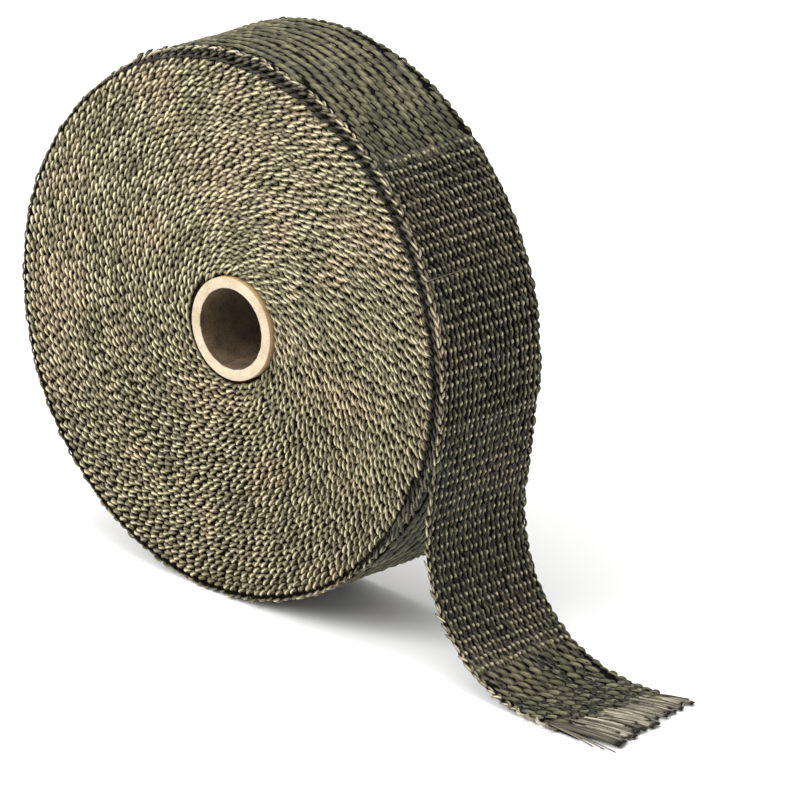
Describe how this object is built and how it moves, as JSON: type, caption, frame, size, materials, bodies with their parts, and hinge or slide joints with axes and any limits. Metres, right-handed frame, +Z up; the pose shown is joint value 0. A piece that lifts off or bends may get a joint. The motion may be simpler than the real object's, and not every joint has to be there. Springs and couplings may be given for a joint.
{
  "type": "exhaust heat wrap roll",
  "caption": "Roll of woven heat-resistant exhaust wrap tape on a cardboard core, standing on its rim with its loose frayed end hanging down and lying on the floor.",
  "frame": {"origin": "on the floor, under the middle of the roll and its loose end", "axes": "+Z up, Y along the roll's axis with the end that shows most at -Y, +X towards the loose end"},
  "size_m": [0.271, 0.0536, 0.192],
  "materials": {
    "woven_tape": "coarse woven basalt yarn, olive brown with pale glints",
    "core_board": "cut paper board, pale at its ends and brown inside"
  },
  "bodies": {
    "root": {"wrap_tape": "woven_tape", "core_tube": "core_board"}
  },
  "joints": []
}
